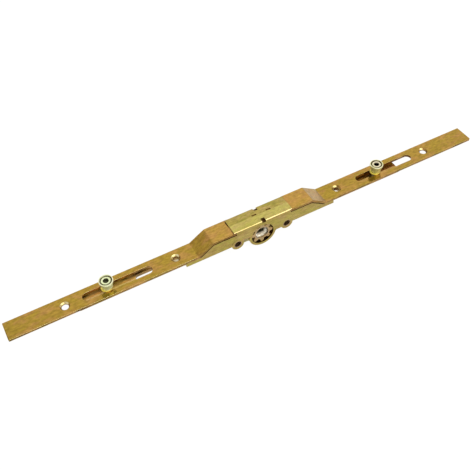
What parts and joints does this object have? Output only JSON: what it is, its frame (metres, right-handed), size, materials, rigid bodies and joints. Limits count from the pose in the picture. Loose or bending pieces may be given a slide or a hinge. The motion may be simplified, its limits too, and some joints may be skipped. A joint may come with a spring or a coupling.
{
  "type": "espagnolette bolt",
  "caption": "Narrow faceplate with a geared centre case: a square spindle turns a pinion and rack that slide two hidden rods with mushroom locking rollers.",
  "frame": {"origin": "middle of the width on the spindle's axis, midway between the two handle screw bores", "axes": "+X along the faceplate, +Y along the spindle from the front wall to the back wall, +Z out of the faceplate towards the rollers"},
  "size_m": [0.401, 0.016, 0.0254],
  "materials": {
    "faceplate": "rolled steel strip, yellow passivated zinc plate",
    "case": "pressed and machined, greenish yellow passivated",
    "sleeve": "turned, pale yellow passivated",
    "pinion": "sintered, yellow passivated",
    "rod": "rolled steel bar, yellow passivated zinc plate",
    "rivet": "bright steel",
    "stud": "turned, pale greenish passivated",
    "collar": "turned, yellow passivated",
    "roller": "turned, pale greenish passivated"
  },
  "bodies": {
    "case": {"faceplate_left": "faceplate", "faceplate_right": "faceplate", "case_front": "case", "case_back": "case", "screw_sleeve_left": "sleeve", "screw_sleeve_right": "sleeve", "guide_bush_left": "sleeve", "guide_bush_right": "sleeve"},
    "pinion": {"drive_pinion": "pinion"},
    "slide": {"drive_rack": "rod", "rod_left": "rod", "rod_right": "rod", "rod_rivets_left": "rivet", "rod_rivets_right": "rivet"},
    "left_stud": {"roller_stud_left": "stud", "stud_collar_left": "collar", "stud_washer_left": "collar"},
    "left_roller": {"roller_left": "roller"},
    "right_stud": {"roller_stud_right": "stud", "stud_collar_right": "collar", "stud_washer_right": "collar"},
    "right_roller": {"roller_right": "roller"}
  },
  "joints": [
    {"name": "slide_travel", "type": "slide", "parent": "case", "child": "slide", "axis": [1, 0, 0], "range_m": [0, 0.02513]},
    {"name": "pinion_turn", "type": "hinge", "parent": "case", "child": "pinion", "pos_m": [0, 0, 0], "axis": [0, 1, 0], "range_deg": [0, 180]},
    {"name": "left_stud_adjust", "type": "hinge", "parent": "slide", "child": "left_stud", "pos_m": [-0.1243, 0, 0.0001], "axis": [0, 0, 1], "range_deg": [-90, 90]},
    {"name": "left_roller_spin", "type": "hinge", "parent": "left_stud", "child": "left_roller", "pos_m": [-0.1235, 0, 0.0095], "axis": [0, 0, 1], "continuous": true},
    {"name": "right_stud_adjust", "type": "hinge", "parent": "slide", "child": "right_stud", "pos_m": [0.1096, 0, 0.0001], "axis": [0, 0, 1], "range_deg": [-90, 90]},
    {"name": "right_roller_spin", "type": "hinge", "parent": "right_stud", "child": "right_roller", "pos_m": [0.1104, 0, 0.0095], "axis": [0, 0, 1], "continuous": true}
  ],
  "couplings": [
    {"joint": "pinion_turn", "follows": "slide_travel", "rad_per_m": 125}
  ]
}
